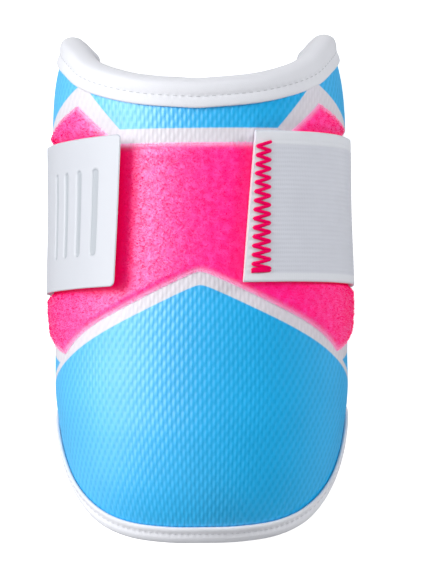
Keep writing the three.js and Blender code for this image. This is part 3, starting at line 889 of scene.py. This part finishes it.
# Elastic strap. White ribbed elastic webbing with a smooth selvage along each edge. It is sewn to
# the loop panel on the front right, goes round behind the arm, and ends under the pull tab.
STRAP_WIDTH, STRAP_WALL = 50, 1.8
STRAP_END, STRAP_END_SLANT, STRAP_LEAVES = 16.6, 0.1, 106
STRAP_LIFT = 2.5 * GAP + LOOP_WALL
TAB_BACK = -90
RIB_PITCH, RIB_DEPTH = 1.5, 0.08
SELVAGE = 3.4  # width of the smooth edges
ROWS_PER_RIB = 4
WEBBING_WHITE = (0.64, 0.66, 0.73, 1)
SELVAGE_WHITE = (0.71, 0.73, 0.78, 1)


def strap_on_shell(around, row, height):
    return on_shell(np.column_stack([around, strap_shift(around) + row, STRAP_LIFT + height]))


def strap_bend(side, row, height, share):
    """From where the strap leaves the shell to where it lies on the table, as one smooth bend."""
    leaving = np.full(len(row), float(side * STRAP_LEAVES))
    leaves = strap_on_shell(leaving, row, height)
    heading = leaves - strap_on_shell(leaving - side, row, height)
    drop = (STRAP_WALL - height) / 1000 - leaves[:, 2]
    corner = leaves + heading * (drop / heading[:, 2])[:, None]
    lies = corner - np.outer(np.linalg.norm(corner - leaves, axis=1), (side, 0, 0))
    return (1 - share) ** 2 * leaves + 2 * share * (1 - share) * corner + share**2 * lies


def strap_section():
    """Closed section of the webbing: places across it, and heights above its under face."""
    row = np.arange(-STRAP_WIDTH / 2, STRAP_WIDTH / 2 + 1e-6, RIB_PITCH / ROWS_PER_RIB)
    row = np.sort(np.append(row, [-24.85, 24.85, STRAP_WIDTH / 2]))
    reach = np.abs(row)
    line = STRAP_WIDTH / 2 - SELVAGE
    relief = RIB_DEPTH * np.cos(2 * math.pi * row / RIB_PITCH) * (1 - smooth_step(reach, line - 0.5, line))
    relief -= 0.16 * np.exp(-(((reach - line) / 0.3) ** 2))
    edge = 0.75 * np.clip((reach - STRAP_WIDTH / 2 + 0.6) / 0.6, 0, 1) ** 2
    outer, inner = STRAP_WALL + relief - edge, edge - relief
    return np.append(row, row[::-1]), np.append(outer, inner[::-1])


def strap_places():
    """Places of the strap by section row and step, and the length along it at each step."""
    row, height = strap_section()
    steps = []
    for share in np.linspace(0, 1, 90, endpoint=False):
        around = lerp(STRAP_END + STRAP_END_SLANT * row, STRAP_LEAVES, share)
        steps.append(strap_on_shell(around, row, height))
    bends = np.linspace(0, 1, 13)
    right = [strap_bend(1, row, height, share) for share in bends]
    left = [strap_bend(-1, row, height, share) for share in bends[::-1]]
    steps += right
    steps += [lerp(right[-1], left[0], share) for share in np.linspace(0, 1, 30)[1:-1]]
    steps += left
    for around in np.linspace(-STRAP_LEAVES, TAB_BACK - GAP, 16)[1:]:
        steps.append(strap_on_shell(np.full(len(row), around), row, height))
    places = np.stack(steps, axis=1)
    places[..., 2] = np.maximum(places[..., 2], 0)
    middle = places[len(row) // 4]
    run = np.append(0, np.cumsum(np.linalg.norm(np.diff(middle, axis=0), axis=1))) * 1000
    return places, run


def elastic_webbing():
    material, tree, surface = new_material(
        "elastic_webbing", Roughness=0.7, Sheen_Weight=0.25, Sheen_Roughness=0.4
    )
    place, length, girth = pattern_axes(tree)
    mottle = use_group(tree, fabric_mottle, Place=place, Patch=8.0, Fibre=0.3)
    dark = tuple(0.93 * channel for channel in WEBBING_WHITE[:3]) + (1,)
    shade = blend_colours(tree, mottle["Patches"], dark, WEBBING_WHITE)
    from_middle = maths(tree, "ABSOLUTE", maths(tree, "SUBTRACT", girth, STRAP_WIDTH / 2))
    line = STRAP_WIDTH / 2 - SELVAGE
    edge = step_up(tree, from_middle, line - 0.3, line + 0.5)
    cut_end = step_up(tree, length, 3.0, 1.2)
    shade = blend_colours(tree, maths(tree, "MAXIMUM", edge, cut_end), shade, SELVAGE_WHITE)
    tree.links.new(shade, surface.inputs["Base Color"])
    threads = maths(tree, "SINE", maths(tree, "MULTIPLY", length, 2 * math.pi / 0.75))
    weave = maths(tree, "MULTIPLY_ADD", threads, 0.25, mottle["Fibres"])
    bump = node(tree, "ShaderNodeBump", {"Strength": 0.4, "Distance": 0.00012, "Height": weave})
    tree.links.new(bump.outputs[0], surface.inputs["Normal"])
    return material


strap_grid, strap_run = strap_places()
strap = swept_tube("strap_webbing", strap_grid, strap_run)
dress(strap, [elastic_webbing()], "elastic_strap", sharp_angle=60)


# Zigzag. A thick hot pink thread sewn to and fro across the strap's end, finished at the bottom
# with a doubled bar, which holds the strap to the loop panel.
ZIGZAG_TOP, ZIGZAG_BOTTOM = 21.2, -20.6
ZIGZAG_PITCH = 2.95
ZIGZAG_INSET, ZIGZAG_SLANT = 1.2, 0.06  # from the strap's cut end
ZIGZAG_WIDTH_TOP, ZIGZAG_WIDTH_BOTTOM = 5.0, 6.7
ZIGZAG_THREAD = 0.57  # radius
HOT_PINK = (0.93, 0.0, 0.12, 1)


def zigzag_route():
    """Places of the thread on the strap: rows from the top down, swinging from side to side."""
    swings = round(2 * (ZIGZAG_TOP - ZIGZAG_BOTTOM) / ZIGZAG_PITCH)
    corner_row = np.linspace(ZIGZAG_TOP, ZIGZAG_BOTTOM, swings + 1)
    corner_side = np.where(np.arange(swings + 1) % 2 == 0, 1.0, 0.0)
    bar_side = np.array([0.0, 1.0, 0.0]) if corner_side[-1] == 1.0 else np.array([1.0, 0.0, 1.0])
    bar_row = ZIGZAG_BOTTOM - np.array([0.25, 0.7, 0.95])
    corner_row, corner_side = np.append(corner_row, bar_row), np.append(corner_side, bar_side)
    fine = np.linspace(0, len(corner_row) - 1, 14 * (len(corner_row) - 1) + 1)
    row = np.interp(fine, np.arange(len(corner_row)), corner_row)
    side = np.interp(fine, np.arange(len(corner_side)), corner_side)
    for _ in range(2):
        side[1:-1] = (side[:-2] + 2 * side[1:-1] + side[2:]) / 4
    fall = (ZIGZAG_TOP - row) / (ZIGZAG_TOP - ZIGZAG_BOTTOM)
    width = lerp(ZIGZAG_WIDTH_TOP, ZIGZAG_WIDTH_BOTTOM, fall)
    around = STRAP_END + ZIGZAG_SLANT * row + ZIGZAG_INSET + side * width
    arch = 0.28 * np.sin(math.pi * np.mod(fine, 1.0))
    return strap_on_shell(around, row, STRAP_WALL + 0.1 + arch)


bpy.ops.object.select_all(action="DESELECT")
bpy.ops.curve.primitive_bezier_curve_add()
zigzag = bpy.context.object
zigzag.name = "zigzag_stitching"
zigzag.data.splines.clear()
thread_line = zigzag.data.splines.new("POLY")
route = zigzag_route()
thread_line.points.add(len(route) - 1)
thread_line.points.foreach_set("co", np.column_stack([route, np.ones(len(route))]).ravel())
zigzag.data.bevel_depth = ZIGZAG_THREAD / 1000
zigzag.data.bevel_resolution = 3
zigzag.data.use_fill_caps = True
bpy.ops.object.convert(target="MESH")
dress(zigzag, [sewing_thread("pink_thread", HOT_PINK)], None)


# Pull tab. A smooth white moulded plate, soft at its edges, welded to the strap's left end. Its
# under side grips the loop panel, and finger grooves are sunk in its face.
TAB_WALL = 2
TAB_FRONT, TAB_FRONT_SLANT, TAB_CORNER = -25.6, 0.05, 1.8
TAB_FACES = (205, 167)
TAB_EDGE, TAB_TUCK = 0.45, 1.3  # radius of the moulded edges, and how far the under face stops short
TAB_LIFT, TAB_LIFT_FROM = 3.6, -58  # the stiff free end stands off the pile
GROOVES = {"first": -61.0, "pitch": 8.5, "count": 4, "half_length": 13.0, "half_width": 1.6}
GROOVE_DEPTH, GROOVE_WALL = 0.6, 0.45
TAB_WHITE = (0.57, 0.59, 0.64, 1)
GROOVE_GREY = (0.42, 0.45, 0.49, 1)


def groove_depth(around, row):
    """0 on the tab's face and 1 on the floor of a groove."""
    depth = np.zeros(len(around))
    for k in range(GROOVES["count"]):
        middle = GROOVES["first"] + k * GROOVES["pitch"]
        past_end = np.maximum(np.abs(row) - GROOVES["half_length"], 0)
        off_line = np.hypot(around - middle, past_end)
        wall = smooth_step(off_line, GROOVES["half_width"] - GROOVE_WALL, GROOVES["half_width"])
        depth = np.maximum(depth, 1 - wall)
    return depth


def moulded_white():
    material, tree, surface = new_material(
        "moulded_white", Roughness=0.42, Coat_Weight=0.06, Coat_Roughness=0.3
    )
    place, _, _ = pattern_axes(tree)
    mottle = use_group(tree, fabric_mottle, Place=place, Patch=16.0, Fibre=0.4)
    dark = tuple(0.97 * channel for channel in TAB_WHITE[:3]) + (1,)
    shade = blend_colours(tree, mottle["Patches"], dark, TAB_WHITE)
    sunk = node(tree, "ShaderNodeAttribute", attribute_name="groove").outputs["Fac"]
    shade = blend_colours(tree, step_up(tree, sunk, 0.35, 0.8), shade, GROOVE_GREY)
    tree.links.new(shade, surface.inputs["Base Color"])
    bump = node(
        tree, "ShaderNodeBump", {"Strength": 0.15, "Distance": 0.00005, "Height": mottle["Fibres"]}
    )
    tree.links.new(bump.outputs[0], surface.inputs["Normal"])
    return material


tab = flat_grid("pull_tab_plate", *TAB_FACES)
finish_with(tab, "SOLIDIFY", thickness=1, offset=-1)
share = points_of(tab)
squeeze = 0.5 * np.sin(math.pi * share[:, :2]) * 0.35 + share[:, :2] * 0.65  # finer towards the edges
on_face = share[:, 2] > -0.5
tuck = np.where(on_face, 0, TAB_TUCK)
tab_around = lerp(TAB_BACK, TAB_FRONT - tuck, squeeze[:, 0] + 0.5)
past = np.clip(tab_around - (TAB_FRONT - tuck - TAB_CORNER), 0, TAB_CORNER)
half = (STRAP_WIDTH - tuck) / 2 - (TAB_CORNER - np.sqrt(TAB_CORNER**2 - past**2))
tab_row = 2 * half * squeeze[:, 1]
lean = TAB_FRONT_SLANT * (tab_around - TAB_BACK) / (TAB_FRONT - TAB_BACK)
to_edge = np.minimum(half - np.abs(tab_row), TAB_FRONT - tab_around)
round_off = TAB_EDGE * (1 - np.sqrt(1 - np.clip(1 - to_edge / TAB_EDGE, 0, 1) ** 2))
sunk = np.where(on_face, groove_depth(tab_around, tab_row), 0)
tab_height = np.where(on_face, TAB_WALL - round_off - GROOVE_DEPTH * sunk, 0)
free_share = np.clip((tab_around - TAB_LIFT_FROM) / (TAB_FRONT - TAB_LIFT_FROM), 0, 1)
tab_height += TAB_LIFT * free_share**2
groove = tab.data.attributes.new("groove", "FLOAT", "POINT")
groove.data.foreach_set("value", sunk.astype(np.float32))
keep_pattern(tab, np.stack([tab_around, tab_row], axis=1))
move_points(tab, strap_on_shell(tab_around + lean * tab_row, tab_row, tab_height))
dress(tab, [moulded_white()], "pull_tab", sharp_angle=70)
